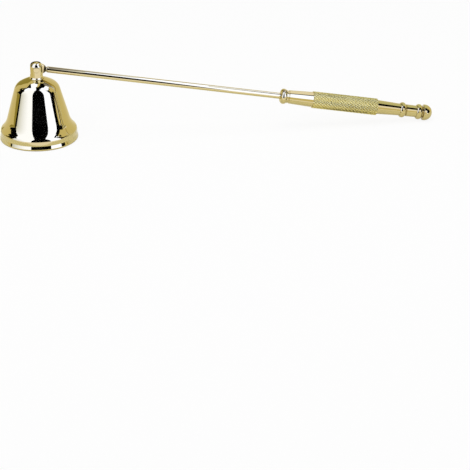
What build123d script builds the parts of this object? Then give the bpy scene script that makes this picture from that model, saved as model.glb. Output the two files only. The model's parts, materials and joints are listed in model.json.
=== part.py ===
"""A bell candle snuffer: a spun bell hinged to a long rod with a turned, knurled handle.

The bell stands on its rim round the origin, +Z is up and the rod runs towards +X.
At rest the rod droops until its end knob lies on the same surface as the rim.
"""

import os
from math import asin, cos, hypot, pi, radians, sin

from build123d import *

os.makedirs("parts", exist_ok=True)

# Bell: a spun shell with a straight band, a flared shoulder, a cone and a domed crown
mouth_radius = 21.0
wall = 1.0
band_height = 4.9
shoulder_radius = 2.6
shoulder_angle = 46.0
flare_radius = 12.0
cone_angle = 15.5
cone_rise = 17.5
crown_radius = 6.5
crown_angle = 60.0
dome_turn = 10.0
seat_margin = 0.3
lip_overhang = 0.5
lip_side_height = 1.0
lip_slope_height = 1.8
lip_rounding = 0.55
mouth_edge = 0.3

# Hinge post: a round clevis that stands on the crown and is held by a stud and nut
post_radius = 3.65
post_foot_radius = 4.2
post_foot_height = 0.4
post_foot_slope = 0.6
pivot_above_seat = 6.0
post_top_above_pivot = 3.65
post_top_rounding = 2.6
slot_depth_below_pivot = 4.0
stud_radius = 2.0
stud_end_past_nut = 0.6
stud_end_chamfer = 0.3
stud_hole_clearance = 0.15

# Washer and nut inside the crown
washer_radius = 4.3
washer_thickness = 0.6
nut_across_flats = 7.0
nut_height = 3.0
nut_corner_slope = 0.5

# Hinge pin, riveted flush into both ears of the post
pin_radius = 1.2
pin_head_radius = 1.75
pin_head_thickness = 0.6
pin_head_edge = 0.12
pin_running_clearance = 0.05

# Tongue on the rod's end, with a round eye and a conical shoulder
tongue_thickness = 2.4
tongue_side_clearance = 0.15
eye_radius = 2.7
swing_clearance = 0.35
shoulder_start_radius = 2.25
shoulder_length = 1.7
shoulder_end_radius = 1.95
spigot_radius = 1.0
spigot_length = 6.0
spigot_end_space = 0.4
ring_groove = 0.25

# Rod and the pieces threaded on it; distances are along the rod from the hinge pin
rod_radius = 1.75
slip_clearance = 0.05
collar_start = 142.4
collar_length = 4.7
collar_ring_length = 3.5
collar_face_radius = 2.9
collar_waist_radius = 3.75
bead_radius = 4.5
bead_length = 3.3
bead_root_radius = 3.6
groove_depth = 0.3
joint_land = 0.2
edge_slope = 0.25

grip_front_neck_length = 14.5
grip_front_small_radius = 3.88
grip_front_large_radius = 4.45
knurl_length = 38.6
knurl_crest_radius = 4.93
knurl_depth = 0.38
knurl_starts = 26
knurl_rows = 22
grip_rear_neck_length = 14.1
grip_rear_large_radius = 4.15
grip_rear_small_radius = 3.5

tail_neck_length = 6.5
tail_neck_front_radius = 3.5
tail_neck_rear_radius = 3.4

knob_radius = 4.65
knob_flat_from_centre = 0.95
knob_edge_rounding = 0.4
knob_land = 0.7
rod_depth_in_knob = 2.8

# Distances along the rod that follow from the sizes above: the shoulder clears the post's top edge
top_edge_centre = (post_radius - post_top_rounding, post_top_above_pivot - post_top_rounding)
shoulder_start = hypot(*top_edge_centre) + post_top_rounding + swing_clearance
shoulder_end = shoulder_start + shoulder_length
collar_end = collar_start + collar_length
knurl_start = collar_end + grip_front_neck_length
knurl_end = knurl_start + knurl_length
rear_bead_start = knurl_end + grip_rear_neck_length
grip_end = rear_bead_start + bead_length + joint_land
tail_bead_start = grip_end + tail_neck_length
tail_end = tail_bead_start + bead_length + joint_land
knob_centre = tail_end + knob_land + knob_flat_from_centre
rod_end = tail_end + rod_depth_in_knob

# Radii at the bottom of the narrow grooves between the turned pieces
front_groove_radius = grip_front_small_radius - groove_depth
tail_groove_radius = tail_neck_front_radius - groove_depth
knob_groove_radius = tail_neck_rear_radius - groove_depth


# The bell's half section, revolved and hollowed, with a proud rounded lip
band_radius = mouth_radius + wall
lip_radius = band_radius + lip_overhang
lip_top = lip_side_height + lip_slope_height
seat_radius = max(post_foot_radius, washer_radius) + seat_margin
dome_spread = cos(radians(crown_angle)) - cos(radians(crown_angle + dome_turn))

with BuildPart() as bell:
    with BuildSketch(Plane.XZ):
        with BuildLine():
            band = Line((band_radius, 0), (band_radius, band_height))
            shoulder = JernArc(band @ 1, band % 1, shoulder_radius, shoulder_angle)
            flare = JernArc(shoulder @ 1, shoulder % 1, flare_radius, cone_angle - shoulder_angle)
            cone = PolarLine(flare @ 1, cone_rise, 90 + cone_angle, length_mode=LengthMode.VERTICAL)
            crown = JernArc(cone @ 1, cone % 1, crown_radius, crown_angle - cone_angle)
            dome_radius = ((crown @ 1).X - seat_radius) / dome_spread
            dome = JernArc(crown @ 1, crown % 1, dome_radius, dome_turn)
            seat_height = (dome @ 1).Y
            Polyline(dome @ 1, (0, seat_height), (0, 0), band @ 0)
        make_face()
    revolve(axis=Axis.Z)
    offset(amount=-wall, openings=bell.faces().sort_by(Axis.Z)[0])
    with BuildSketch(Plane.XZ):
        with BuildLine():
            Polyline(
                (lip_radius, lip_rounding),
                (lip_radius, lip_side_height),
                (band_radius, lip_top),
                (mouth_radius, lip_top),
                (mouth_radius, 0),
                (lip_radius - lip_rounding, 0),
            )
            JernArc((lip_radius - lip_rounding, 0), (1, 0), lip_rounding, 90)
        make_face()
    revolve(axis=Axis.Z)
    rim = bell.faces().filter_by(Axis.Z).sort_by(Axis.Z)[0]
    chamfer(rim.inner_wires()[0].edges(), mouth_edge)
    with Locations((0, 0, seat_height)):
        Hole(stud_radius + stud_hole_clearance)
bell.part.label = "bell"
export_step(bell.part, "parts/bell.step")

# Heights that the hinge takes from the bell
pivot_height = seat_height + pivot_above_seat
post_top = pivot_height + post_top_above_pivot
ceiling = seat_height - wall
nut_top = ceiling - washer_thickness
nut_bottom = nut_top - nut_height
stud_bottom = nut_bottom - stud_end_past_nut
slot_half = tongue_thickness / 2 + tongue_side_clearance
slot_floor = pivot_height - slot_depth_below_pivot
head_face = (post_radius**2 - pin_head_radius**2) ** 0.5
head_seat = head_face - pin_head_thickness

# Planes across the hinge: the pin's own plane and the rod's plane at its drooping rest
droop = asin((pivot_height - knob_radius) / knob_centre)
pin_plane = Plane(origin=(0, 0, pivot_height), x_dir=(1, 0, 0), z_dir=(0, -1, 0))
rod_plane = Plane(origin=(0, 0, pivot_height), x_dir=(cos(droop), 0, -sin(droop)), z_dir=(0, -1, 0))
rod_axis = Axis((0, 0, pivot_height), (cos(droop), 0, -sin(droop)))

with BuildPart() as hinge_post:
    with BuildSketch(Plane.XZ):
        with BuildLine():
            Polyline(
                (0, stud_bottom),
                (stud_radius - stud_end_chamfer, stud_bottom),
                (stud_radius, stud_bottom + stud_end_chamfer),
                (stud_radius, seat_height),
                (post_foot_radius, seat_height),
                (post_foot_radius, seat_height + post_foot_height),
                (post_radius, seat_height + post_foot_height + post_foot_slope),
                (post_radius, post_top - post_top_rounding),
            )
            JernArc((post_radius, post_top - post_top_rounding), (0, 1), post_top_rounding, 90)
            Polyline((post_radius - post_top_rounding, post_top), (0, post_top), (0, stud_bottom))
        make_face()
    revolve(axis=Axis.Z)
    with BuildSketch(Plane.YZ):
        with Locations((0, slot_floor)):
            Rectangle(2 * slot_half, post_top - slot_floor + post_radius, align=(Align.CENTER, Align.MIN))
    extrude(amount=2 * post_radius, both=True, mode=Mode.SUBTRACT)
    with BuildSketch(pin_plane):
        Circle(pin_radius)
    extrude(amount=2 * post_radius, both=True, mode=Mode.SUBTRACT)
    for side in (1, -1):
        with BuildSketch(pin_plane.offset(side * head_seat)):
            Circle(pin_head_radius)
        extrude(amount=side * post_radius, mode=Mode.SUBTRACT)
hinge_post.part.label = "hinge_post"
export_step(hinge_post.part, "parts/hinge_post.step")

with BuildPart() as crown_washer:
    with BuildSketch(Plane.XY.offset(nut_top)):
        Circle(washer_radius)
        Circle(stud_radius + stud_hole_clearance, mode=Mode.SUBTRACT)
    extrude(amount=washer_thickness)
crown_washer.part.label = "crown_washer"
export_step(crown_washer.part, "parts/crown_washer.step")

# Hexagon nut with its lower corners turned off
with BuildPart() as crown_nut:
    with BuildSketch(Plane.XY.offset(nut_bottom)):
        RegularPolygon(nut_across_flats / 2, 6, major_radius=False)
        Circle(stud_radius, mode=Mode.SUBTRACT)
    extrude(amount=nut_height)
    nut_corner_radius = nut_across_flats / 3**0.5
    with BuildSketch(Plane.XZ):
        with BuildLine():
            Polyline(
                (0, nut_bottom),
                (nut_across_flats / 2, nut_bottom),
                (nut_corner_radius, nut_bottom + nut_corner_slope),
                (nut_corner_radius, nut_top),
                (0, nut_top),
                close=True,
            )
        make_face()
    revolve(axis=Axis.Z, mode=Mode.INTERSECT)
crown_nut.part.label = "crown_nut"
export_step(crown_nut.part, "parts/crown_nut.step")

with BuildPart() as hinge_pin:
    with BuildSketch(pin_plane):
        Circle(pin_radius)
    extrude(amount=head_seat, both=True)
    for side in (1, -1):
        with BuildSketch(pin_plane.offset(side * head_seat)):
            Circle(pin_head_radius)
        extrude(amount=side * pin_head_thickness)
    chamfer(hinge_pin.faces().sort_by(Axis.Y)[0].edges(), pin_head_edge)
    chamfer(hinge_pin.faces().sort_by(Axis.Y)[-1].edges(), pin_head_edge)
hinge_pin.part.label = "hinge_pin"
export_step(hinge_pin.part, "parts/hinge_pin.step")

# Flat tongue with a round eye, running into the turned shoulder and its spigot
with BuildPart() as rod_tongue:
    with BuildSketch(rod_plane):
        Circle(eye_radius)
        with Locations((shoulder_start, 0)):
            Rectangle(ring_groove, 2 * shoulder_start_radius, align=(Align.MIN, Align.CENTER))
        make_hull()
    extrude(amount=tongue_thickness / 2, both=True)
    with BuildSketch(rod_plane):
        with BuildLine():
            Polyline(
                (shoulder_start, 0),
                (shoulder_start, shoulder_start_radius),
                (shoulder_end - ring_groove, shoulder_end_radius),
                (shoulder_end, shoulder_end_radius - ring_groove),
                (shoulder_end, spigot_radius),
                (shoulder_end + spigot_length, spigot_radius),
                (shoulder_end + spigot_length, 0),
                close=True,
            )
        make_face()
    revolve(axis=rod_axis)
    with BuildSketch(rod_plane):
        Circle(pin_radius + pin_running_clearance)
    extrude(amount=tongue_thickness, both=True, mode=Mode.SUBTRACT)
rod_tongue.part.label = "rod_tongue"
export_step(rod_tongue.part, "parts/rod_tongue.step")

# One rod from the tongue to the end knob, drilled for the tongue's spigot
with BuildPart() as rod:
    with BuildSketch(rod_plane):
        with BuildLine():
            Polyline(
                (shoulder_end, spigot_radius),
                (shoulder_end, rod_radius - ring_groove),
                (shoulder_end + ring_groove, rod_radius),
                (rod_end, rod_radius),
                (rod_end, 0),
                (shoulder_end + spigot_length + spigot_end_space, 0),
                (shoulder_end + spigot_length + spigot_end_space, spigot_radius),
                close=True,
            )
        make_face()
    revolve(axis=rod_axis)
rod.part.label = "rod"
export_step(rod.part, "parts/rod.step")

# Rounded collar that stops the handle, fast on the rod
with BuildPart() as front_collar:
    with BuildSketch(rod_plane):
        with BuildLine():
            ThreePointArc(
                (collar_start, collar_face_radius),
                (collar_start + collar_ring_length / 2, bead_radius),
                (collar_start + collar_ring_length, collar_waist_radius),
            )
            Polyline(
                (collar_start + collar_ring_length, collar_waist_radius),
                (collar_end - joint_land - edge_slope, collar_waist_radius),
                (collar_end - joint_land, front_groove_radius),
                (collar_end, front_groove_radius),
                (collar_end, rod_radius),
                (collar_start, rod_radius),
                (collar_start, collar_face_radius),
            )
        make_face()
    revolve(axis=rod_axis)
front_collar.part.label = "front_collar"
export_step(front_collar.part, "parts/front_collar.step")


def knurl_point(column, row, radius):
    """A point of the diamond pattern: half columns round the rod, half rows along it."""
    turn = column * pi / knurl_starts
    along = knurl_start + row * knurl_length / (2 * knurl_rows)
    return rod_plane.from_local_coords((along, radius * cos(turn), radius * sin(turn)))


def knurl_facet(*corners):
    return Face(Wire.make_polygon([knurl_point(*corner) for corner in corners]))


def knurl_solid():
    """Crossed V grooves leave one four-sided pyramid in each diamond."""
    root = knurl_crest_radius - knurl_depth
    last = 2 * knurl_rows
    facets = []
    for row in range(1, last):
        for column in range(row % 2, 2 * knurl_starts, 2):
            corners = [
                (column, row - 1, root),
                (column + 1, row, root),
                (column, row + 1, root),
                (column - 1, row, root),
            ]
            for first, second in zip(corners, corners[1:] + corners[:1]):
                facets.append(knurl_facet((column, row, knurl_crest_radius), first, second))
    for edge_row, inner_row in ((0, 1), (last, last - 1)):
        for column in range(inner_row % 2, 2 * knurl_starts, 2):
            facets.append(
                knurl_facet((column, edge_row, root), (column + 2, edge_row, root), (column + 1, inner_row, root))
            )
        ring = range(inner_row % 2, 2 * knurl_starts, 2)
        facets.append(knurl_facet(*[(column, edge_row, root) for column in ring]))
    return Solid(Shell(facets))


# Handle sleeve: smooth tapers either side of the knurl and a bead at the back
with BuildPart() as knurled_grip:
    add(knurl_solid())
    with BuildSketch(rod_plane):
        with BuildLine():
            Polyline(
                (knurl_start, 0),
                (collar_end, 0),
                (collar_end, front_groove_radius),
                (collar_end + joint_land, front_groove_radius),
                (collar_end + joint_land + edge_slope, grip_front_small_radius),
                (knurl_start, grip_front_large_radius),
                close=True,
            )
        make_face()
    revolve(axis=rod_axis)
    with BuildSketch(rod_plane):
        with BuildLine():
            Polyline(
                (grip_end - joint_land, bead_root_radius),
                (grip_end - joint_land, tail_groove_radius),
                (grip_end, tail_groove_radius),
                (grip_end, 0),
                (knurl_end, 0),
                (knurl_end, grip_rear_large_radius),
                (rear_bead_start, grip_rear_small_radius),
                (rear_bead_start, bead_root_radius),
            )
            ThreePointArc(
                (rear_bead_start, bead_root_radius),
                (rear_bead_start + bead_length / 2, bead_radius),
                (grip_end - joint_land, bead_root_radius),
            )
        make_face()
    revolve(axis=rod_axis)
    with BuildSketch(Plane(rod_plane.from_local_coords((collar_end, 0)), z_dir=rod_axis.direction)):
        Circle(rod_radius + slip_clearance)
    extrude(amount=grip_end - collar_end, mode=Mode.SUBTRACT)
knurled_grip.part.label = "knurled_grip"
export_step(knurled_grip.part, "parts/knurled_grip.step")

with BuildPart() as tail_collar:
    with BuildSketch(rod_plane):
        with BuildLine():
            Polyline(
                (tail_end - joint_land, bead_root_radius),
                (tail_end - joint_land, knob_groove_radius),
                (tail_end, knob_groove_radius),
                (tail_end, rod_radius + slip_clearance),
                (grip_end, rod_radius + slip_clearance),
                (grip_end, tail_groove_radius),
                (grip_end + joint_land, tail_groove_radius),
                (grip_end + joint_land + edge_slope, tail_neck_front_radius),
                (tail_bead_start, tail_neck_rear_radius),
                (tail_bead_start, bead_root_radius),
            )
            ThreePointArc(
                (tail_bead_start, bead_root_radius),
                (tail_bead_start + bead_length / 2, bead_radius),
                (tail_end - joint_land, bead_root_radius),
            )
        make_face()
    revolve(axis=rod_axis)
tail_collar.part.label = "tail_collar"
export_step(tail_collar.part, "parts/tail_collar.step")

# Domed knob screwed on the rod's end: most of a ball on a short narrow land
with BuildPart() as end_knob:
    knob_flat = knob_centre - knob_flat_from_centre
    knob_flat_radius = (knob_radius**2 - knob_flat_from_centre**2) ** 0.5
    with BuildSketch(rod_plane):
        with BuildLine():
            Polyline(
                (knob_centre + knob_radius, 0),
                (rod_end, 0),
                (rod_end, rod_radius),
                (tail_end, rod_radius),
                (tail_end, knob_groove_radius),
                (knob_flat, knob_groove_radius),
                (knob_flat, knob_flat_radius),
            )
            RadiusArc((knob_flat, knob_flat_radius), (knob_centre + knob_radius, 0), knob_radius)
        make_face()
        fillet(vertices().sort_by(Axis.Y)[-1], knob_edge_rounding)
    revolve(axis=rod_axis)
end_knob.part.label = "end_knob"
export_step(end_knob.part, "parts/end_knob.step")
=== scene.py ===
"""A bell candle snuffer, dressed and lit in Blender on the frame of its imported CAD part.

The bell, hinge post, rod, collars, end knob and fasteners are the CAD nodes with gold finishes.
The riveted pin, the tongue and the knurled grip are rebuilt here with the details of the real ones.
"""

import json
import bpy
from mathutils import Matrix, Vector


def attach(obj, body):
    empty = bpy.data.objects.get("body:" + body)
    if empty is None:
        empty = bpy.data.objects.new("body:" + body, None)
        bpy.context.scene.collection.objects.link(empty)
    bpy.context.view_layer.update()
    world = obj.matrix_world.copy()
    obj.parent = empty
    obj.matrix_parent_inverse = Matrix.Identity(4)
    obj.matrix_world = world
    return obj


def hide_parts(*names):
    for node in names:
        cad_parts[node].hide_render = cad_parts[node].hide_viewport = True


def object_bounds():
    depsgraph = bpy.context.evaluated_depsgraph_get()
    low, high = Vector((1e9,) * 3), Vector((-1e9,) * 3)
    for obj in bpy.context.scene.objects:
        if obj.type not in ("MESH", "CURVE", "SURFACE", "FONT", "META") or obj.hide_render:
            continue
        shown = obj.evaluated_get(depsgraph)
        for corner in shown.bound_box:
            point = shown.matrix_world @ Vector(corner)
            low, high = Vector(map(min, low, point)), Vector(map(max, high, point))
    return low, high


bl_info = {
    "name": "Candle Snuffer",
    "version": (1, 0, 0),
    "blender": (4, 5, 0),
    "location": "3D View > Sidebar > Snuffer",
    "description": "Dresses the packed candle snuffer and sets up its studio",
    "category": "Object",
}

from math import acos, asin, atan2, cos, hypot, pi, radians, sin

import bmesh
import bpy
from bpy.props import FloatProperty, FloatVectorProperty, IntProperty, PointerProperty
from mathutils import Euler, Matrix, Vector

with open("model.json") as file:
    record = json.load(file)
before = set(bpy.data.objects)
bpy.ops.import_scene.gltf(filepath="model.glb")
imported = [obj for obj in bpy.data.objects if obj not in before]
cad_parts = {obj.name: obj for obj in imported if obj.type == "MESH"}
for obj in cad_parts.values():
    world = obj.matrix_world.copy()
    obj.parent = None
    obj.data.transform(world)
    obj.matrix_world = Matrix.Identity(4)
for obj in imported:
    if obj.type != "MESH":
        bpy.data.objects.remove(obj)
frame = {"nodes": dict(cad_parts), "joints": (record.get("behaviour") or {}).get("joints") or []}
CAD_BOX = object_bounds()
NODES = frame["nodes"]
PIVOT = Vector(frame["joints"][0]["pos_m"])
HANDLE_BODY = "handle"
BELL_BODY = "bell"
UPRIGHT = (0.0, 0.0, 1.0)
PIN_AXIS = (0.0, 1.0, 0.0)
SECOND_FINISH = 1
CREASE = radians(30)


# Settings

def a_length(name, description, default):
    """A size in metres."""
    return FloatProperty(
        name=name, description=description, default=default, unit="LENGTH", subtype="DISTANCE"
    )


def a_share(name, description, default, least=0, most=1):
    """A share between two limits."""
    return FloatProperty(
        name=name, description=description, default=default, subtype="FACTOR", min=least, max=most
    )


def an_angle(name, description, default):
    """An angle in radians."""
    return FloatProperty(
        name=name, description=description, default=default, unit="ROTATION", subtype="ANGLE"
    )


def a_level(name, description, default):
    """A brightness from 0 up."""
    return FloatProperty(name=name, description=description, default=default, min=0)


def a_colour(name, description, default):
    """A colour."""
    return FloatVectorProperty(
        name=name, description=description, default=default, subtype="COLOR", size=3, min=0, max=1
    )


class SnufferGold(bpy.types.PropertyGroup):
    """Colours and polish of the metal"""

    gold_colour: a_colour("Gold", "Pale gold of the plated and polished pieces", (0.604, 0.503, 0.205))
    # Painted shade: the colour that ambient occlusion paints into grooves and corners
    recess_shade_colour: a_colour("Deep gold", "Darker gold in grooves and corners", (0.30, 0.215, 0.06))
    # Painted light and shade: the knurl is coloured lighter on its crests and darker in its grooves
    crest_sheen_colour: a_colour("Knurl crests", "Yellower gold on the crests of the knurl", (0.82, 0.72, 0.23))
    groove_shade_colour: a_colour("Knurl grooves", "Olive gold in the knurl's grooves", (0.56, 0.45, 0.11))
    # Painted shadow: the near-black colour of the tongue's shoulder beside the hinge post
    shoulder_shadow_colour: a_colour("Tarnish", "Dark tarnish on the neck beside the hinge", (0.07, 0.055, 0.02))
    brass_colour: a_colour("Brass", "Plain brass of the nut and washer", (0.62, 0.44, 0.17))
    polish: a_share("Polish roughness", "Roughness of the mirror polished outside", 0.045)
    satin: a_share("Satin roughness", "Roughness of the spun surface inside the bell", 0.22)
    crest_polish: a_share("Crest roughness", "Roughness of the crests, which hands keep bright", 0.28)
    groove_matt: a_share("Groove roughness", "Roughness at the bottom of the knurl's grooves", 0.42)
    # How far the painted shade in grooves and corners reaches
    shade_reach: a_length("Recess reach", "How far a corner or groove darkens the gold beside it", 0.0012)


class SnufferHinge(bpy.types.PropertyGroup):
    """Sizes of the riveted pin and of the tongue that swings on it"""

    pin_radius: a_length("Pin radius", "Radius of the pin between its heads", 0.0012)
    head_radius: a_length("Pin head radius", "Radius of the riveted heads", 0.00168)
    head_seat: a_length("Pin head seat", "From the hinge's middle to the underside of each head", 0.002603)
    head_face: a_length("Pin head face", "From the hinge's middle to the rim of each head's face", 0.00378)
    head_dome: a_length("Pin head dome", "How far a head's face swells at its middle", 0.00008)
    head_edge: a_length("Pin head edge", "Rounding round the face of each head", 0.00014)
    tongue_thickness: a_length("Tongue thickness", "Thickness of the tongue in the post's slot", 0.0024)
    tongue_edge: a_length("Tongue edge", "Bevel along the edges of the tongue", 0.0002)
    eye_radius: a_length("Eye radius", "Radius of the tongue's round end, up to the post's dome", 0.00345)
    hole_radius: a_length("Hole radius", "Radius of the hole that turns on the pin", 0.00125)
    shoulder_start: a_length("Shoulder start", "From the pin to the face of the turned shoulder", 0.004435)
    shoulder_radius: a_length("Shoulder radius", "Radius of the shoulder beside the post", 0.0023)
    waist_distance: a_length("Waist distance", "From the pin to the narrow end of the shoulder", 0.0055)
    waist_radius: a_length("Waist radius", "Radius of the shoulder at its narrow end", 0.00155)
    ring_end: a_length("Ring end", "From the pin to the end of the ring in front of the rod", 0.006135)
    ring_radius: a_length("Ring radius", "Radius over the bright ring", 0.0019)
    spigot_radius: a_length("Spigot radius", "Radius of the spigot inside the rod", 0.001)
    spigot_length: a_length("Spigot length", "Length of the spigot inside the rod", 0.006)


class SnufferGrip(bpy.types.PropertyGroup):
    """Sizes of the handle sleeve; distances run along the rod from the hinge pin"""

    start: a_length("Start", "Where the sleeve meets the front collar", 0.1471)
    front_neck_length: a_length("Front neck length", "Smooth taper in front of the knurl", 0.0145)
    knurl_length: a_length("Knurl length", "Length of the diamond knurl", 0.0386)
    rear_neck_length: a_length("Rear neck length", "Smooth taper behind the knurl", 0.0141)
    bead_length: a_length("Bead length", "Length of the rounded bead at the back", 0.0033)
    land: a_length("Joint land", "Narrow flat at each end of the sleeve", 0.0002)
    slope: a_length("Front slope", "Length of the slope that rises from the front land", 0.00025)
    bore_radius: a_length("Bore radius", "Radius of the bore that slips over the rod", 0.0018)
    front_groove_radius: a_length("Front groove radius", "Radius in the front collar's groove", 0.00358)
    tail_groove_radius: a_length("Tail groove radius", "Radius in the tail collar's groove", 0.0032)
    front_small_radius: a_length("Front small radius", "Radius of the front taper at the collar", 0.00388)
    front_large_radius: a_length("Front large radius", "Radius of the front taper at the knurl", 0.00445)
    rear_large_radius: a_length("Rear large radius", "Radius of the rear taper at the knurl", 0.00415)
    rear_small_radius: a_length("Rear small radius", "Radius of the rear taper at the bead", 0.0035)
    bead_root_radius: a_length("Bead root radius", "Radius where the bead rises from the taper", 0.0036)
    bead_radius: a_length("Bead radius", "Radius at the top of the bead", 0.0045)
    crest_radius: a_length("Knurl crest radius", "Radius over the tops of the diamonds", 0.00493)
    knurl_depth: a_length("Knurl depth", "Depth of the crossed grooves", 0.00026)
    knurl_starts: IntProperty(name="Knurl starts", description="Diamonds round the grip", min=8, default=21)
    knurl_rows: IntProperty(name="Knurl rows", description="Diamonds along the grip", min=2, default=19)
    crest_share: a_share("Crest share", "Share of a diamond that stays flat at its top", 0.14, 0.05, 0.9)
    knob_radius: a_length("Knob radius", "Radius of the end knob, which the handle rests on", 0.00465)
    knob_distance: a_length("Knob distance", "From the hinge pin to the middle of the end knob", 0.22945)


class SnufferStudio(bpy.types.PropertyGroup):
    """Floor, soft boxes, dark cards and camera"""

    floor_colour: a_colour("Floor", "Colour of the pale floor", (0.9, 0.9, 0.9))
    floor_size: a_length("Floor size", "Side of the square floor", 12.0)
    floor_white: a_share("Floor white", "Share of white in the floor that the camera sees", 0.9)
    mirrored_white: a_share("Mirrored white", "Share of white in the floor that the metal mirrors", 0.45)
    world_fill: a_level("World fill", "Strength of the even light from all round", 0.35)
    panel_colour: a_colour("Panel colour", "Cool white that gold mirrors as white", (0.34, 0.41, 1.0))
    panel_brightness: a_level("Panel brightness", "Brightness of the tent's panels", 5.2)
    tent_front: a_length("Tent front", "How far the tent's front stands from the bell", 0.25)
    tent_side: a_length("Tent side", "How far the tent's sides stand from the bell", 0.5)
    tent_height: a_length("Tent height", "Height of the tent's front and roof", 0.95)
    roof_height: a_length("Roof height", "Height of the panel over the handle", 0.42)
    opening_left: a_length("Opening left", "Left edge of the tent's dark opening", -0.115)
    opening_right: a_length("Opening right", "Right edge of the tent's dark opening", 0.15)
    opening_height: a_length("Opening height", "Height of the opening's pointed top", 0.95)
    lamp_distance: a_length("Lamp distance", "How far off the soft boxes stand", 0.9)
    lamp_size: a_length("Lamp size", "Side of each square soft box", 0.7)
    lamp_brightness: a_level("Lamp brightness", "Brightness of the soft boxes", 2.6)
    surround_brightness: a_level("Surround brightness", "Brightness of the cloth behind and above", 0.88)
    surround_colour: a_colour("Surround", "Warm grey of the cloth behind and above", (1.0, 0.92, 0.66))
    lens: FloatProperty(
        name="Lens", description="Focal length on a 36 mm wide sensor", unit="CAMERA", default=145.1
    )
    camera_place: FloatVectorProperty(
        name="Camera place",
        description="Where the camera stands",
        unit="LENGTH",
        subtype="XYZ",
        default=(-0.01142, -1.0241, 0.40833),
    )
    camera_pitch: an_angle("Camera pitch", "How far the camera looks down", radians(24.82))
    camera_heading: an_angle("Camera heading", "How far the camera turns to the right", radians(6.98))


# Shader helpers

def add_node(tree, kind, values=None, **settings):
    """A new node with its settings and the constants on its input sockets."""
    node = tree.nodes.new(f"ShaderNode{kind}")
    for name, value in settings.items():
        setattr(node, name, value)
    for socket, value in (values or {}).items():
        node.inputs[socket].default_value = value
    return node


def join(tree, *links):
    """Links sockets; each link gives a node, its output, the next node and its input."""
    for source, output, target, socket in links:
        tree.links.new(source.outputs[output], target.inputs[socket])


def start_group(name, inputs, outputs):
    """An empty shader node group with named sockets, and its input and output nodes."""
    group = bpy.data.node_groups.new(name, "ShaderNodeTree")
    for socket_name, kind, default in inputs:
        socket = group.interface.new_socket(socket_name, in_out="INPUT", socket_type=f"NodeSocket{kind}")
        socket.default_value = default
    for socket_name, kind in outputs:
        group.interface.new_socket(socket_name, in_out="OUTPUT", socket_type=f"NodeSocket{kind}")
    return group, group.nodes.new("NodeGroupInput"), group.nodes.new("NodeGroupOutput")


def build_turned_marks(name):
    """Fine rings left by the lathe and the polishing wheel, at right angles to the turning axis."""
    group, given, result = start_group(
        name,
        [
            ("Along", "Float", 0.0),
            ("Lines per Metre", "Float", 9000.0),
            ("Roughness", "Float", 0.05),
            ("Roughness Spread", "Float", 0.02),
        ],
        [("Height", "Float"), ("Roughness", "Float")],
    )
    fine = add_node(group, "TexNoise", {"Detail": 3.0, "Roughness": 0.7}, noise_dimensions="1D")
    broad_share = 0.08
    broad_lines = add_node(group, "Math", {1: broad_share}, operation="MULTIPLY")
    broad = add_node(group, "TexNoise", {"Detail": 2.0}, noise_dimensions="1D")
    centred = add_node(group, "Math", {1: 0.5}, operation="SUBTRACT")
    spread = add_node(group, "Math", operation="MULTIPLY_ADD")
    join(
        group,
        (given, "Along", fine, "W"),
        (given, "Lines per Metre", fine, "Scale"),
        (given, "Lines per Metre", broad_lines, 0),
        (given, "Along", broad, "W"),
        (broad_lines, 0, broad, "Scale"),
        (broad, "Fac", centred, 0),
        (centred, 0, spread, 0),
        (given, "Roughness Spread", spread, 1),
        (given, "Roughness", spread, 2),
        (spread, 0, result, "Roughness"),
        (fine, "Fac", result, "Height"),
    )
    return group


def build_handling_haze(name):
    """Soft clouds of handling over the polish: a mask from 0, clean, to 1, dulled."""
    group, given, result = start_group(
        name,
        [("Vector", "Vector", (0.0, 0.0, 0.0)), ("Patches per Metre", "Float", 90.0)],
        [("Haze", "Float")],
    )
    clouds = add_node(group, "TexNoise", {"Detail": 5.0, "Roughness": 0.6, "Distortion": 0.4})
    threshold = add_node(
        group, "MapRange", {"From Min": 0.45, "From Max": 0.8}, interpolation_type="SMOOTHSTEP"
    )
    join(
        group,
        (given, "Vector", clouds, "Vector"),
        (given, "Patches per Metre", clouds, "Scale"),
        (clouds, "Fac", threshold, "Value"),
        (threshold, "Result", result, "Haze"),
    )
    return group


def build_painted_recess_shade(name):
    """Painted shade: darker metal colour where ambient occlusion finds a groove or corner that shuts out the
    light.
    """
    group, given, result = start_group(
        name,
        [
            ("Open Colour", "Color", (1.0, 1.0, 1.0, 1.0)),
            ("Recess Colour", "Color", (0.2, 0.2, 0.2, 1.0)),
            ("Reach", "Float", 0.001),
        ],
        [("Colour", "Color")],
    )
    shut = add_node(group, "AmbientOcclusion", samples=8)
    depth = add_node(group, "MapRange", {"From Min": 0.35, "From Max": 0.75})
    tint = add_node(group, "Mix", data_type="RGBA")
    join(
        group,
        (given, "Reach", shut, "Distance"),
        (shut, "AO", depth, "Value"),
        (depth, "Result", tint, "Factor"),
        (given, "Recess Colour", tint, "A"),
        (given, "Open Colour", tint, "B"),
        (tint, "Result", result, "Colour"),
    )
    return group


def use_group(tree, name, build, values=None):
    """A shared group placed in a material, built the first time that a material asks for it."""
    group = bpy.data.node_groups.get(name) or build(name)
    return add_node(tree, "Group", values, node_tree=group)


# Metal finishes

def new_material(name):
    """A new material and its node tree."""
    material = bpy.data.materials.new(name)
    material.use_nodes = True
    return material, material.node_tree


def start_metal(name):
    """A new all-metal material: its tree, its Principled shader and its texture coordinates."""
    material, tree = new_material(name)
    shader = tree.nodes["Principled BSDF"]
    shader.inputs["Metallic"].default_value = 1.0
    places = add_node(tree, "TexCoord")
    return material, tree, shader, places


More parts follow.
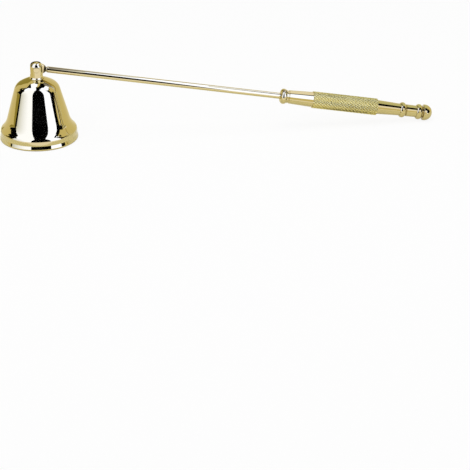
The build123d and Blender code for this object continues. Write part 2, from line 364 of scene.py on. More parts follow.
def turned_metal(name, colour, axis, roughness, lines=9000.0, mark_depth=0.03):
    """Polished metal with turning marks across the given axis, and painted shade in its grooves and corners.
    """
    gold = bpy.context.scene.snuffer_gold
    material, tree, shader, places = start_metal(name)
    along = add_node(tree, "VectorMath", {1: axis}, operation="DOT_PRODUCT")
    marks = use_group(
        tree,
        "turned_marks",
        build_turned_marks,
        {"Lines per Metre": lines, "Roughness": roughness, "Roughness Spread": roughness / 2},
    )
    haze = use_group(tree, "handling_haze", build_handling_haze)
    dulled = add_node(tree, "Math", {1: roughness}, operation="MULTIPLY_ADD")
    # Painted shade: ambient occlusion darkens the colour in grooves and corners
    recess = use_group(
        tree,
        "painted_recess_shade",
        build_painted_recess_shade,
        {
            "Open Colour": (*colour, 1.0),
            "Recess Colour": (*gold.recess_shade_colour, 1.0),
            "Reach": gold.shade_reach,
        },
    )
    bump = add_node(tree, "Bump", {"Strength": mark_depth, "Distance": 1.0e-5})
    join(
        tree,
        (places, "Object", along, 0),
        (along, "Value", marks, "Along"),
        (places, "Object", haze, "Vector"),
        (haze, "Haze", dulled, 0),
        (marks, "Roughness", dulled, 2),
        (dulled, 0, shader, "Roughness"),
        (recess, "Colour", shader, "Base Color"),
        (marks, "Height", bump, "Height"),
        (bump, "Normal", shader, "Normal"),
    )
    return material


def polished_gold(name, axis):
    """The pale gold that most pieces have, turned about the given axis."""
    gold = bpy.context.scene.snuffer_gold
    return turned_metal(name, gold.gold_colour, axis, gold.polish)


def knurled_metal(name):
    """Painted sheen on the knurl's crests, painted shade in its grooves, and smoother crests than grooves.
    """
    gold = bpy.context.scene.snuffer_gold
    grip = bpy.context.scene.snuffer_grip
    material, tree, shader, places = start_metal(name)
    from_pin = add_node(tree, "VectorMath", {1: PIVOT}, operation="SUBTRACT")
    across = add_node(tree, "VectorMath", {1: rod_axis()}, operation="CROSS_PRODUCT")
    radius = add_node(tree, "VectorMath", operation="LENGTH")
    tooth = add_node(
        tree, "MapRange", {"From Min": grip.crest_radius - grip.knurl_depth, "From Max": grip.crest_radius}
    )
    # Painted light and shade: the colour runs from the groove's shade at the roots to the crest's sheen
    tint = add_node(
        tree, "Mix", {"A": (*gold.groove_shade_colour, 1.0), "B": (*gold.crest_sheen_colour, 1.0)}, data_type="RGBA"
    )
    wear = add_node(tree, "MapRange", {"To Min": gold.groove_matt, "To Max": gold.crest_polish})
    haze = use_group(tree, "handling_haze", build_handling_haze)
    dulled = add_node(tree, "Math", {1: gold.crest_polish}, operation="MULTIPLY_ADD")
    join(
        tree,
        (places, "Object", from_pin, 0),
        (from_pin, "Vector", across, 0),
        (across, "Vector", radius, 0),
        (radius, "Value", tooth, "Value"),
        (tooth, "Result", tint, "Factor"),
        (tint, "Result", shader, "Base Color"),
        (tooth, "Result", wear, "Value"),
        (places, "Object", haze, "Vector"),
        (haze, "Haze", dulled, 0),
        (wear, "Result", dulled, 2),
        (dulled, 0, shader, "Roughness"),
    )
    return material


def spin_inside(material):
    """Dulls the faces that look towards the bell's upright axis, as spinning leaves them."""
    tree = material.node_tree
    shader = tree.nodes["Principled BSDF"]
    polished = shader.inputs["Roughness"].links[0].from_node
    places = tree.nodes["Texture Coordinate"]
    outward = add_node(tree, "VectorMath", {1: (1.0, 1.0, 0.0)}, operation="MULTIPLY")
    facing = add_node(tree, "VectorMath", operation="DOT_PRODUCT")
    inside = add_node(tree, "Math", {1: 0.0}, operation="LESS_THAN")
    satin = bpy.context.scene.snuffer_gold.satin
    dulled = add_node(tree, "Math", {1: satin}, operation="MULTIPLY_ADD")
    join(
        tree,
        (places, "Object", outward, 0),
        (outward, "Vector", facing, 0),
        (places, "Normal", facing, 1),
        (facing, "Value", inside, 0),
        (inside, 0, dulled, 0),
        (polished, 0, dulled, 2),
        (dulled, 0, shader, "Roughness"),
    )


def dress(material, *names):
    """Gives CAD nodes their finish."""
    for name in names:
        materials = NODES[name].data.materials
        materials.clear()
        materials.append(material)


# The rod's own frame

def rod_matrix():
    """Rod frame to world: x runs along the rod from the hinge pin, y and z across it."""
    grip = bpy.context.scene.snuffer_grip
    droop = asin((PIVOT.z - grip.knob_radius) / grip.knob_distance)
    along = Vector((cos(droop), 0, -sin(droop)))
    across = Vector((sin(droop), 0, cos(droop)))
    side = along.cross(across)
    return Matrix.Translation(PIVOT) @ Matrix((along, across, side)).transposed().to_4x4()


def rod_axis():
    """The rod's direction in the frame."""
    return rod_matrix().to_3x3().col[0]


# Mesh helpers

def link_object(name, data):
    """A new object in the scene."""
    item = bpy.data.objects.new(name, data)
    bpy.context.scene.collection.objects.link(item)
    return item


def arc_through(first, middle, last, steps):
    """Points along the circle through three profile points, the first left out."""
    (ax, ay), (bx, by), (cx, cy) = first, middle, last
    twice = 2 * (ax * (by - cy) + bx * (cy - ay) + cx * (ay - by))
    squares = [x * x + y * y for x, y in (first, middle, last)]
    centre_x = (squares[0] * (by - cy) + squares[1] * (cy - ay) + squares[2] * (ay - by)) / twice
    centre_y = (squares[0] * (cx - bx) + squares[1] * (ax - cx) + squares[2] * (bx - ax)) / twice
    radius = hypot(ax - centre_x, ay - centre_y)
    begin = atan2(ay - centre_y, ax - centre_x)
    end = atan2(cy - centre_y, cx - centre_x)
    turns = [begin + (end - begin) * step / steps for step in range(1, steps + 1)]
    return [(centre_x + radius * cos(turn), centre_y + radius * sin(turn)) for turn in turns]


def ring(mesh, along, radius, turns):
    """A ring of vertices round the rod's axis."""
    return [mesh.verts.new((along, radius * cos(turn), radius * sin(turn))) for turn in turns]


def bridge(mesh, near, far):
    """Faces between two rings of as many vertices."""
    faces = []
    for index in range(len(near)):
        after = (index + 1) % len(near)
        faces.append(mesh.faces.new((near[index], far[index], far[after], near[after])))
    return faces


def turned_piece(mesh, profile, steps=64):
    """A turned solid from points along its axis and their radii, closed at both ends; returns its bands."""
    turns = [2 * pi * step / steps for step in range(steps)]
    rings = [ring(mesh, along, radius, turns) for along, radius in profile]
    bands = [bridge(mesh, near, far) for near, far in zip(rings, rings[1:])]
    for end in (rings[0], rings[-1]):
        mesh.faces.new(end)
    return bands


def place_piece(name, mesh, matrix, materials, body, node):
    """Turns a finished mesh into an object that rides on a body and stands for a CAD node."""
    bmesh.ops.recalc_face_normals(mesh, faces=mesh.faces)
    data = bpy.data.meshes.new(name)
    mesh.to_mesh(data)
    mesh.free()
    data.transform(matrix)
    data.set_sharp_from_angle(angle=CREASE)
    for material in materials:
        data.materials.append(material)
    piece = link_object(name, data)
    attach(piece, body)
    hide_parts(node)


# Hinge meshes

def pin_matrix():
    """Pin frame to world: x runs along the pin from the middle of the hinge."""
    return Matrix.Translation(PIVOT) @ Matrix(((0, 0, 1), (1, 0, 0), (0, 1, 0))).to_4x4()


def build_pin_mesh(hinge):
    """The riveted pin: a shaft with a low domed head at each end."""
    dome_steps = 6
    edge_steps = 5
    tiny = 0.02 * hinge.head_radius
    face_radius = hinge.head_radius - hinge.head_edge
    edge_middle = hinge.head_edge * (1 - cos(pi / 4))
    head = [(hinge.head_face + hinge.head_dome, tiny)]
    for step in range(1, dome_steps + 1):
        share = step / dome_steps
        head.append((hinge.head_face + hinge.head_dome * (1 - share**2), face_radius * share))
    head += arc_through(
        (hinge.head_face, face_radius),
        (hinge.head_face - edge_middle, hinge.head_radius - edge_middle),
        (hinge.head_face - hinge.head_edge, hinge.head_radius),
        edge_steps,
    )
    head += [(hinge.head_seat, hinge.head_radius), (hinge.head_seat, hinge.pin_radius)]
    mesh = bmesh.new()
    turned_piece(mesh, [(-along, radius) for along, radius in head] + head[::-1])
    return mesh


def tongue_outline(hinge, steps):
    """The tongue seen from the side: a round eye that runs straight into the shoulder."""
    corner_turn = atan2(hinge.shoulder_radius, hinge.shoulder_start)
    corner_distance = hypot(hinge.shoulder_radius, hinge.shoulder_start)
    eye_turn = corner_turn + acos(hinge.eye_radius / corner_distance)
    points = []
    for step in range(steps):
        turn = 2 * pi * step / steps - pi
        if abs(turn) >= eye_turn:
            reach = hinge.eye_radius
        elif abs(turn) >= corner_turn:
            reach = hinge.eye_radius / cos(eye_turn - abs(turn))
        else:
            reach = hinge.shoulder_start / cos(turn)
        points.append((reach * cos(turn), reach * sin(turn)))
    return points


def build_tongue_mesh(hinge):
    """The tongue: a bevelled plate with a pin hole, a turned shoulder, a bright ring and its spigot."""
    mesh = bmesh.new()
    outline_steps = 96
    outline = tongue_outline(hinge, outline_steps)
    half = hinge.tongue_thickness / 2
    edge = hinge.tongue_edge
    shrunk = [(x * (1 - edge / hypot(x, y)), y * (1 - edge / hypot(x, y))) for x, y in outline]
    hole = [(hinge.hole_radius * x / hypot(x, y), hinge.hole_radius * y / hypot(x, y)) for x, y in outline]
    layers = (
        (hole, -half),
        (shrunk, -half),
        (outline, edge - half),
        (outline, half - edge),
        (shrunk, half),
        (hole, half),
    )
    rings = [[mesh.verts.new((x, y, side)) for x, y in points] for points, side in layers]
    for near, far in zip(rings, rings[1:] + rings[:1]):
        bridge(mesh, near, far)
    ring_start = hinge.waist_distance
    ring_steps = 10
    shoulder = [
        (hinge.shoulder_start, hinge.spigot_radius),
        (hinge.shoulder_start, hinge.shoulder_radius - edge),
        (hinge.shoulder_start + edge, hinge.shoulder_radius),
        (hinge.waist_distance - edge, hinge.waist_radius),
        (ring_start, hinge.waist_radius),
        *arc_through(
            (ring_start, hinge.waist_radius),
            ((ring_start + hinge.ring_end) / 2, hinge.ring_radius),
            (hinge.ring_end, hinge.waist_radius),
            ring_steps,
        ),
        (hinge.ring_end, hinge.spigot_radius),
        (hinge.ring_end + hinge.spigot_length, hinge.spigot_radius),
    ]
    bands = turned_piece(mesh, shoulder)
    # These bands of the shoulder take the painted shadow finish
    first_dark, last_dark = 1, 4
    for band in bands[first_dark:last_dark]:
        for face in band:
            face.material_index = SECOND_FINISH
    return mesh


# Grip mesh

def build_knurl(mesh, grip, knurl_start):
    """Crossed grooves that leave a flat-topped pyramid in each diamond.

    Returns the serrated rings at both ends, each in order round the rod.
    """
    root_radius = grip.crest_radius - grip.knurl_depth
    last_row = 2 * grip.knurl_rows
    row_length = grip.knurl_length / last_row
    column_turn = pi / grip.knurl_starts
    columns = 2 * grip.knurl_starts
    share = grip.crest_share
    around = ((0, -1), (1, 0), (0, 1), (-1, 0))
    roots = {}

    def corner(column, row, radius):
        turn = column * column_turn
        return mesh.verts.new((knurl_start + row * row_length, radius * cos(turn), radius * sin(turn)))

    def root(column, row):
        key = (column % columns, row)
        if key not in roots:
            roots[key] = corner(*key, root_radius)
        return roots[key]

    def facets(outer, inner):
        mesh.faces.new(inner)
        for index in range(len(inner)):
            after = (index + 1) % len(inner)
            mesh.faces.new((outer[index], outer[after], inner[after], inner[index]))

    ends = {0: [], last_row: []}
    for row in range(last_row + 1):
        for column in range((row + 1) % 2, columns, 2):
            if row in ends:
                inward = 1 if row == 0 else -1
                left, right = root(column - 1, row), root(column + 1, row)
                low = corner(column - share, row, grip.crest_radius)
                high = corner(column + share, row, grip.crest_radius)
                tip = corner(column, row + inward * share, grip.crest_radius)
                apex = root(column, row + inward)
                mesh.faces.new((low, high, tip))
                mesh.faces.new((left, low, tip, apex))
                mesh.faces.new((high, right, apex, tip))
                ends[row] += [left, low, high]
            else:
                outer = [root(column + x, row + y) for x, y in around]
                inner = [corner(column + share * x, row + share * y, grip.crest_radius) for x, y in around]
                facets(outer, inner)
    return ends[0], ends[last_row]


def build_grip_mesh(grip):
    """The handle sleeve in the rod's frame: bore, front neck, knurl, rear neck and bead."""
    knurl_start = grip.start + grip.front_neck_length
    knurl_end = knurl_start + grip.knurl_length
    bead_start = knurl_end + grip.rear_neck_length
    bead_end = bead_start + grip.bead_length
    mesh = bmesh.new()
    front_teeth, rear_teeth = build_knurl(mesh, grip, knurl_start)
    for face in mesh.faces:
        face.material_index = SECOND_FINISH
    turns = [atan2(vertex.co.z, vertex.co.y) for vertex in front_teeth]
    front = [
        (grip.start, grip.bore_radius),
        (grip.start, grip.front_groove_radius),
        (grip.start + grip.land, grip.front_groove_radius),
        (grip.start + grip.land + grip.slope, grip.front_small_radius),
        (knurl_start, grip.front_large_radius),
    ]
    bead_steps = 14
    rear = [
        (knurl_end, grip.rear_large_radius),
        (bead_start, grip.rear_small_radius),
        (bead_start, grip.bead_root_radius),
        *arc_through(
            (bead_start, grip.bead_root_radius),
            (bead_start + grip.bead_length / 2, grip.bead_radius),
            (bead_end, grip.bead_root_radius),
            bead_steps,
        ),
        (bead_end, grip.tail_groove_radius),
        (bead_end + grip.land, grip.tail_groove_radius),
        (bead_end + grip.land, grip.bore_radius),
    ]
    front_rings = [ring(mesh, along, radius, turns) for along, radius in front]
    rear_rings = [ring(mesh, along, radius, turns) for along, radius in rear]
    for rings in (front_rings, rear_rings):
        for near, far in zip(rings, rings[1:]):
            bridge(mesh, near, far)
    bridge(mesh, front_rings[-1], front_teeth)
    bridge(mesh, rear_teeth, rear_rings[0])
    bridge(mesh, rear_rings[-1], front_rings[0])
    return mesh


# Operators

class SNUFFER_OT_finish_bell(bpy.types.Operator):
    """Gives the bell its polished outside and its satin, spun inside"""

    bl_idname = "snuffer.finish_bell"
    bl_label = "Finish bell"

    def execute(self, context):
        bell_gold = polished_gold("bell_gold", UPRIGHT)
        spin_inside(bell_gold)
        dress(bell_gold, "bell")
        return {"FINISHED"}


class SNUFFER_OT_build_hinge(bpy.types.Operator):
    """Polishes the hinge post and builds its riveted pin and the tongue that swings on it"""

    bl_idname = "snuffer.build_hinge"
    bl_label = "Build hinge"

    def execute(self, context):
        gold = context.scene.snuffer_gold
        hinge = context.scene.snuffer_hinge
        dress(polished_gold("post_gold", UPRIGHT), "hinge_post")
        pin_gold = polished_gold("pin_gold", PIN_AXIS)
        pin = build_pin_mesh(hinge)
        place_piece("rivet_pin", pin, pin_matrix(), (pin_gold,), BELL_BODY, "hinge_pin")
        tongue_gold = polished_gold("tongue_gold", rod_axis())
        # Painted shadow: the tongue's shoulder beside the post is coloured near black
        shadowed_shoulder_gold = turned_metal("shadowed_shoulder_gold", gold.shoulder_shadow_colour, rod_axis(), gold.satin)
        finishes = (tongue_gold, shadowed_shoulder_gold)
        tongue = build_tongue_mesh(hinge)
        place = rod_matrix()
        place_piece("tongue", tongue, place, finishes, HANDLE_BODY, "rod_tongue")
        return {"FINISHED"}


class SNUFFER_OT_finish_fasteners(bpy.types.Operator):
    """Gives the nut and washer inside the crown their plain brass"""

    bl_idname = "snuffer.finish_fasteners"
    bl_label = "Finish fasteners"

    def execute(self, context):
        gold = context.scene.snuffer_gold
        brass = turned_metal("fastener_brass", gold.brass_colour, UPRIGHT, gold.satin)
        dress(brass, "crown_washer", "crown_nut")
        return {"FINISHED"}


class SNUFFER_OT_finish_rod(bpy.types.Operator):
    """Gives the rod, both collars and the end knob their turned polish"""

    bl_idname = "snuffer.finish_rod"
    bl_label = "Finish rod"

    def execute(self, context):
        turned = polished_gold("turned_gold", rod_axis())
        dress(turned, "rod", "front_collar", "tail_collar", "end_knob")
        return {"FINISHED"}


class SNUFFER_OT_build_grip(bpy.types.Operator):
    """Builds the handle sleeve with its fine diamond knurl"""

    bl_idname = "snuffer.build_grip"
    bl_label = "Build grip"

    def execute(self, context):
        necks = polished_gold("neck_gold", rod_axis())
        finishes = (necks, knurled_metal("knurl_gold"))
        sleeve = build_grip_mesh(context.scene.snuffer_grip)
        place = rod_matrix()
        place_piece("grip_sleeve", sleeve, place, finishes, HANDLE_BODY, "knurled_grip")
        return {"FINISHED"}


# Studio

def card_material(name, colour, brightness):
    """Plain cloth of a card, as bright as given from every side."""
    material, tree = new_material(name)
    tree.nodes.clear()
    glow = add_node(tree, "Emission", {"Color": (*colour, 1.0), "Strength": brightness})
    output = add_node(tree, "OutputMaterial")
    join(tree, (glow, "Emission", output, "Surface"))
    return material


def faded_card_material(name, colour, brightness, corner, corner_colour, near, reach):
    """Cloth that fades to another colour, from plain at the given reach to the corner's colour when near."""
    material = card_material(name, colour, brightness)
    tree = material.node_tree
    places = add_node(tree, "TexCoord")
    away = add_node(tree, "VectorMath", {1: corner}, operation="DISTANCE")
    share = add_node(tree, "MapRange", {"From Min": near, "From Max": reach})
    shade = add_node(tree, "Mix", {"A": (*corner_colour, 1.0), "B": (*colour, 1.0)}, data_type="RGBA")
    join(
        tree,
        (places, "Object", away, 0),
        (away, "Value", share, "Value"),
        (share, "Result", shade, "Factor"),
        (shade, "Result", tree.nodes["Emission"], "Color"),
    )
    return material


def place_card(name, outline, material):
    """A flat card with the given outline, seen only in reflections."""
    mesh = bmesh.new()
    mesh.faces.new([mesh.verts.new(point) for point in outline])
    bmesh.ops.triangulate(mesh, faces=mesh.faces)
    data = bpy.data.meshes.new(name)
    mesh.to_mesh(data)
    mesh.free()
    data.materials.append(material)
    card = link_object(name, data)
    card.visible_camera = False
    card.visible_shadow = False
    card.visible_diffuse = False


def stand_card(name, plan, heights, material):
    """An upright card that follows points of the studio's plan."""
    bottom, top = heights
    for number, (start, end) in enumerate(zip(plan, plan[1:])):
        outline = [(*start, bottom), (*end, bottom), (*end, top), (*start, top)]
        place_card(f"{name}_{number + 1}", outline, material)


def lay_card(name, sides, depths, height, material):
    """A level card between two sides and two depths of the studio's plan."""
    left, right = sides
    near, far = depths
    outline = [(left, near, height), (right, near, height), (right, far, height), (left, far, height)]
    place_card(name, outline, material)


def soft_box(name, side, brightness, place, target):
    """A square soft box turned to its target; it lights the floor, and the metal sees the cards."""
    light = bpy.data.lights.new(name, "AREA")
    light.size = side
    light.energy = brightness * pi * side * side
    box = link_object(name, light)
    box.location = place
    box.rotation_euler = (Vector(target) - Vector(place)).to_track_quat("-Z", "Y").to_euler()
    box.visible_camera = False
    box.visible_glossy = False


def seen_share(tree, seen=1.0, mirrored=1.0):
    """One share for rays from the camera, another from polished metal and through glass, 0 for the rest."""
    path = add_node(tree, "LightPath")
    shiny = add_node(tree, "Math", operation="MAXIMUM")
    from_shiny = add_node(tree, "Math", {1: mirrored}, operation="MULTIPLY")
    from_camera = add_node(tree, "Math", {1: seen}, operation="MULTIPLY")
    either = add_node(tree, "Math", operation="MAXIMUM")
    join(
        tree,
        (path, "Is Glossy Ray", shiny, 0),
        (path, "Is Transmission Ray", shiny, 1),
        (shiny, 0, from_shiny, 0),
        (path, "Is Camera Ray", from_camera, 0),
        (from_shiny, 0, either, 0),
        (from_camera, 0, either, 1),
    )
    return either


def build_floor(studio):
    """A pale floor that looks white and still takes the object's shadow."""
    half = studio.floor_size / 2
    corners = [(-half, -half, 0), (half, -half, 0), (half, half, 0), (-half, half, 0)]
    data = bpy.data.meshes.new("floor")
    data.from_pydata(corners, [], [(0, 1, 2, 3)])
    link_object("floor", data)
    material, tree = new_material("floor_paper")
    tree.nodes.clear()
    paper = add_node(tree, "BsdfDiffuse", {"Color": (*studio.floor_colour, 1.0)})
    white = add_node(tree, "Emission")
    blend = add_node(tree, "MixShader")
    output = add_node(tree, "OutputMaterial")
    join(
        tree,
        (seen_share(tree, studio.floor_white, studio.mirrored_white), 0, blend, "Fac"),
        (paper, "BSDF", blend, 1),
        (white, "Emission", blend, 2),
        (blend, "Shader", output, "Surface"),
    )
    data.materials.append(material)


def build_world(studio):
    """Even fill light that reads as white where it is seen."""
    world = bpy.data.worlds.new("studio_world")
    world.use_nodes = True
    tree = world.node_tree
    sky = tree.nodes["Background"]
    strength = add_node(tree, "MapRange", {"To Min": studio.world_fill, "To Max": 1.0})
    sky.inputs["Color"].default_value = (1.0, 1.0, 1.0, 1.0)
    join(
        tree,
        (seen_share(tree), 0, strength, "Value"),
        (strength, "Result", sky, "Strength"),
    )
    bpy.context.scene.world = world


def build_camera(studio):
    """The camera at the photograph's place and angle."""
    lens = bpy.data.cameras.new("camera")
    lens.lens = studio.lens
    camera = link_object("camera", lens)
    camera.location = studio.camera_place
    camera.rotation_euler = Euler((pi / 2 - studio.camera_pitch, 0, -studio.camera_heading))
    bpy.context.scene.camera = camera


def build_lamps(studio):
    """Two soft boxes in front of the object and one above it."""
    middle = (CAD_BOX[0][0] + CAD_BOX[1][0]) / 2
    target = (middle, 0.0, 0.0)
    away = studio.lamp_distance
    for name, place in (
        ("soft_box_left", (middle - away, -away, away)),
        ("soft_box_right", (middle + away, -away, away)),
        ("soft_box_top", (middle, 0.0, away)),
    ):
        soft_box(name, studio.lamp_size, studio.lamp_brightness, place, target)


def build_front_wall(studio, white, black):
    """The tent's white front, and the dark and brown cards that stand along its sides.

    Each row gives a card's name, the points that it follows in plan, its bottom and top, and its cloth.
    """
    front = -studio.tent_front
    left_depth = -0.045
    left_corner = (studio.opening_left, front)
    left_end = (-studio.tent_side, left_depth)
    left_border_end = (-0.5, 0.03)
    right_end = (studio.tent_side, front)
    foot = 0.004
    full = (foot, studio.tent_height)
    cream = faded_card_material(
        "cream_cloth",
        (0.32, 0.378, 0.87),
        studio.panel_brightness,
        corner=(*left_end, 0.0),
        corner_colour=(0.16, 0.18, 0.30),
        near=0.0,
        reach=0.36,
    )
    brown = card_material("brown_cloth", (0.42, 0.37, 0.12), 1.0)
    cards = (
        ("white_left", (left_end, left_corner), full, cream),
        ("white_front", (left_corner, right_end), full, white),
        ("dark_left_border", (left_end, left_border_end), (0.0, 0.06), black),
        ("brown_left_border", (left_border_end, (-0.43, 0.25)), (0.0, 0.05), brown),
        ("dark_left_foot", ((-0.5, -0.02), (-0.44, 0.2)), (0.06, 0.125), black),
        ("dark_left_post", ((-0.49, -0.04), (-0.48, 0.06), (-0.46, 0.155)), (0.07, 0.36), black),
        ("dark_left_flag", ((-0.468, -0.054), (-0.48, 0.06), (-0.44, 0.24)), (0.27, 0.43), black),
        ("dark_left_pole", ((-0.46, 0.2), (-0.42, 0.26)), (0.38, 0.62), black),
        ("dark_right_border", (right_end, (0.53, -0.13)), full, black),
        ("dark_right_foot", ((0.49, -0.2), (0.53, -0.12), (0.54, -0.02)), (0.05, 0.23), black),
        ("brown_back", ((-0.33, 0.55), (0.0, 0.55)), (0.0, 0.7), brown),
    )
    for name, plan, heights, cloth in cards:
        stand_card(name, plan, heights, cloth)


def build_roof(studio, white, black):
    """The tent's roof in plan: white panels, a dark wedge over the opening, and dark lines at both sides."""
    front = -studio.tent_front
    wedge_left = (-0.075, front)
    wedge_right = (0.125, front)
    wedge_foot = (-0.04, 0.08)
    wedge_top = (-0.05, 0.2)
    panel_join = (-0.13, 0.2)
    left_seam = ((-1.0, 0.02), (-0.66, 0.19), (-0.5, 0.23), (-0.36, 0.28), (-0.25, 0.22))
    back_seam = ((-0.24, 0.28), (-0.28, 0.45))
    right_seam = ((0.17, 0.07), (0.225, 0.14), (0.275, 0.24), (0.33, 0.33), (0.42, 0.46), (0.52, 0.6))
    right_line = ((0.46, 0.06), (0.62, -0.05), (0.8, -0.14))
    left_line_back = ((-0.31, 0.55), (-0.33, 0.5), (-0.285, 0.34), (-0.46, 0.37), (-0.7, 0.4), (-1.1, 0.25))
    right_line_back = ((1.0, -0.14), (0.95, -0.02), (0.75, 0.1), (0.56, 0.15))
    white_back = ((0.02, 0.24), (0.025, 0.38), (-0.09, 0.4))
    white_right = ((0.44, 0.2), (0.52, 0.45), (0.6, 0.6))
    wedge_back = (
        *((0.54, 0.75), (0.41, 0.62), (0.28, 0.47), (0.15, 0.4)),
        *((0.14, 0.33), (0.09, 0.24), (0.03, 0.2)),
    )
    far_left = left_seam[0]
    panels = (
        (
            "white_roof_left",
            ((far_left[0], front), wedge_left, wedge_foot, panel_join, *left_seam[::-1]),
            white,
        ),
        ("dark_line_left", ((-1.1, far_left[1]), *left_seam, *back_seam, *left_line_back), black),
        (
            "white_roof_back",
            (left_seam[-1], panel_join, wedge_foot, wedge_top, *white_back, *back_seam[::-1]),
            white,
        ),
        ("dark_wedge", (wedge_left, wedge_right, *right_seam, *wedge_back, wedge_top, wedge_foot), black),
        (
            "white_roof_right",
            (wedge_right, (0.75, front), right_line[-1], right_line[0], *white_right, *right_seam[::-1]),
            white,
        ),
        ("dark_line_right", (*right_line, *right_line_back), black),
    )
    for name, plan, cloth in panels:
        place_card(name, [(*point, studio.tent_height) for point in plan], cloth)


def build_opening(studio, black):
    """The dark opening in the tent's front, and a dark flag at the end of its right panel.

    Each edge of the opening gives shares of the way from its foot to the middle, and shares of its height.
    """
    gap = 0.001
    just_inside = gap - studio.tent_front
    flag = ((0.505, 0.26), (0.47, 0.386), (0.45, 0.44), (0.505, 0.46))
    place_card("dark_right_flag", [(x, just_inside, z) for x, z in flag], black)
    left_edge = [(0.0, 0.0), (0.0, 0.5), (0.045, 0.78), (0.3, 1.0)]
    right_edge = [(0.0, 0.0), (0.0, 0.3), (0.12, 0.55), (0.19, 1.0)]
    middle = 0.015
    outline = []
    for edge, foot in ((left_edge, studio.opening_left), (right_edge[::-1], studio.opening_right)):
        for inward, height in edge:
            outline.append((foot + inward * (middle - foot), just_inside, height * studio.opening_height))
    place_card("dark_opening", outline, black)


def build_handle_flags(grey, black, pale):
    """Small curved cards round the handle, which draw the thin lines along the rod and the necks.

    Each row gives a card's name, its stretch along the rod, its distance from the rod's axis, the degrees
    that it fills from level in front towards overhead, and its cloth.
    """
    olive_colour = (0.96, 1.0, 0.85)
    olive = card_material("olive_cloth", olive_colour, 0.82)
    dim_olive = card_material("dim_olive_cloth", olive_colour, 0.4)
    placement = rod_matrix()
    mauve_colour = (0.14, 0.14, 0.23)
    plain_colour = (0.49, 0.55, 1.0)
    mauve_brightness = 2.25
    fades = {}
    for name, corner, near, reach in (
        ("mauve_cloth", 0.004, 0.014, 0.055),
        ("short_mauve_cloth", 0.004, 0.004, 0.022),
        ("end_mauve_cloth", 0.147, 0.008, 0.045),
    ):
        place = placement @ Vector((corner, 0, 0))
        fades[name] = faded_card_material(
            name, plain_colour, mauve_brightness, place, mauve_colour, near, reach
        )
    close = 0.0045
    distance = 0.04
    turn_step = 6
    front_neck = (0.149, 0.168)
    knurl = (0.168, 0.206)
    rear_neck = (0.206, 0.25)
    flags = (
        ("mauve_flag_hinge_low", (0.007, 0.028), close, (39, 73), fades["short_mauve_cloth"]),
        ("mauve_flag_hinge_high", (0.007, 0.058), close, (73, 125), fades["mauve_cloth"]),
        ("mauve_flag_rod", (0.1, 0.1465), close, (53, 80), fades["end_mauve_cloth"]),
        ("grey_flag_front", front_neck, distance, (-14, 18), grey),
        ("dark_flag_front", front_neck, distance, (70, 84), black),
        ("pale_flag_front", front_neck, distance, (84, 150), pale),
        ("olive_flag_knurl", knurl, distance, (84, 150), dim_olive),
        ("grey_flag_rear", rear_neck, distance, (-10, 20), grey),
        ("pale_flag_rear", (0.206, 0.245), distance, (20, 47), pale),
        ("dark_flag_rear", rear_neck, distance, (47, 82), black),
        ("olive_flag_rear", rear_neck, distance, (82, 150), olive),
        ("dark_flag_knob", (0.25, 0.33), distance, (15, 75), black),
    )
    for name, span, away, (low, high), material in flags:
        turns = [radians(turn) for turn in (*range(low, high, turn_step), high)]
        near, far = (
            [placement @ Vector((along, away * sin(turn), away * cos(turn))) for turn in turns]
            for along in span
        )
        for number, outline in enumerate(zip(near, far, far[1:], near[1:])):
            place_card(f"{name}_{number + 1}", outline, material)


def lay_papers(grey, black, pale):
    """Papers on the floor that the metal mirrors, one a painted shadow: their sides, depths, height and
    cloth.
    """
    strip_height = 0.0003
    paper_height = 0.0002
    papers = (
        # Painted shadow: a black strip that the knurl mirrors as the floor's shadow in front of it
        ("painted_shadow_knurl", (0.164, 0.196), (-0.016, -0.006), strip_height, black),
        ("pale_floor", (-0.1, 0.3), (-0.24, -0.03), paper_height, pale),
        ("grey_floor_back", (-0.6, 0.6), (0.03, 0.7), paper_height, grey),
        ("grey_floor_left", (-0.6, -0.06), (-0.1, 0.03), paper_height, grey),
    )
    for paper in papers:
        lay_card(*paper)


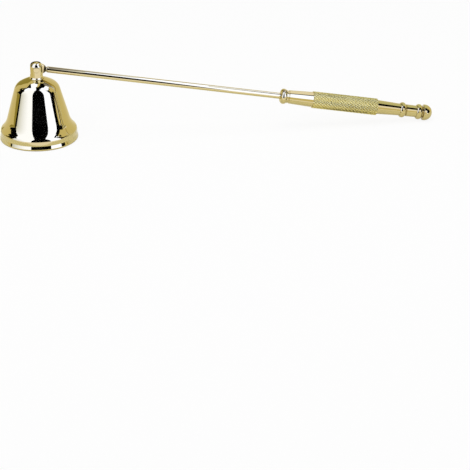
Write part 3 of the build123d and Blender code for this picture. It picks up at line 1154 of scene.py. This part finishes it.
def build_tent(studio):
    """The light tent that the metal mirrors: white front and roof, dark cards, grey back and ceiling."""
    white = card_material("white_cloth", studio.panel_colour, studio.panel_brightness)
    black = card_material("black_cloth", (0.0, 0.0, 0.0), 0.0)
    grey = card_material("grey_cloth", studio.surround_colour, studio.surround_brightness)
    pale = card_material("pale_cloth", (0.72, 0.72, 1.0), 1.7)
    build_front_wall(studio, white, black)
    build_roof(studio, white, black)
    build_opening(studio, black)
    roof_sides = (0.1, 0.33)
    roof_depths = (-0.12, 0.03)
    lay_card("white_roof", roof_sides, roof_depths, studio.roof_height, white)
    build_handle_flags(grey, black, pale)
    lay_papers(grey, black, pale)
    back_distance = 1.2
    back_steps = 40
    back_from = radians(76)
    back_to = radians(269)
    back = []
    for step in range(back_steps + 1):
        turn = back_from + (back_to - back_from) * step / back_steps
        back.append((back_distance * sin(turn), -back_distance * cos(turn)))
    ceiling = 1.6
    stand_card("grey_back", back, (0.0, ceiling), grey)
    sides = (-back_distance, back_distance)
    lay_card("grey_ceiling", sides, sides, ceiling, grey)


# Stage operator, sidebar and registration

class SNUFFER_OT_build_stage(bpy.types.Operator):
    """Builds the floor, the soft boxes, the cards that the metal mirrors, and the camera"""

    bl_idname = "snuffer.build_stage"
    bl_label = "Build stage"

    def execute(self, context):
        studio = context.scene.snuffer_studio
        build_floor(studio)
        build_world(studio)
        build_lamps(studio)
        build_tent(studio)
        build_camera(studio)
        context.scene.view_settings.view_transform = "Standard"
        return {"FINISHED"}


class SNUFFER_PT_sidebar(bpy.types.Panel):
    """Lists the snuffer's operators and sizes"""

    bl_idname = "SNUFFER_PT_sidebar"
    bl_label = "Candle Snuffer"
    bl_space_type = "VIEW_3D"
    bl_region_type = "UI"
    bl_category = "Snuffer"

    def draw(self, context):
        for operator in OPERATORS:
            self.layout.operator(operator.bl_idname)
        for settings in SETTINGS:
            group = getattr(context.scene, settings)
            box = self.layout.box()
            for name in group.__annotations__:
                box.prop(group, name)


OPERATORS = (
    SNUFFER_OT_finish_bell,
    SNUFFER_OT_build_hinge,
    SNUFFER_OT_finish_fasteners,
    SNUFFER_OT_finish_rod,
    SNUFFER_OT_build_grip,
    SNUFFER_OT_build_stage,
)
SETTINGS = {
    "snuffer_gold": SnufferGold,
    "snuffer_hinge": SnufferHinge,
    "snuffer_grip": SnufferGrip,
    "snuffer_studio": SnufferStudio,
}
CLASSES = (*SETTINGS.values(), *OPERATORS, SNUFFER_PT_sidebar)


def register():
    for item in CLASSES:
        bpy.utils.register_class(item)
    for name, group in SETTINGS.items():
        setattr(bpy.types.Scene, name, PointerProperty(type=group))


def unregister():
    for name in SETTINGS:
        delattr(bpy.types.Scene, name)
    for item in reversed(CLASSES):
        bpy.utils.unregister_class(item)


def main():
    """Registers the add-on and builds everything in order."""
    register()
    for operator in OPERATORS:
        group, name = operator.bl_idname.split(".")
        getattr(getattr(bpy.ops, group), name)()


if __name__ == "__main__":
    main()
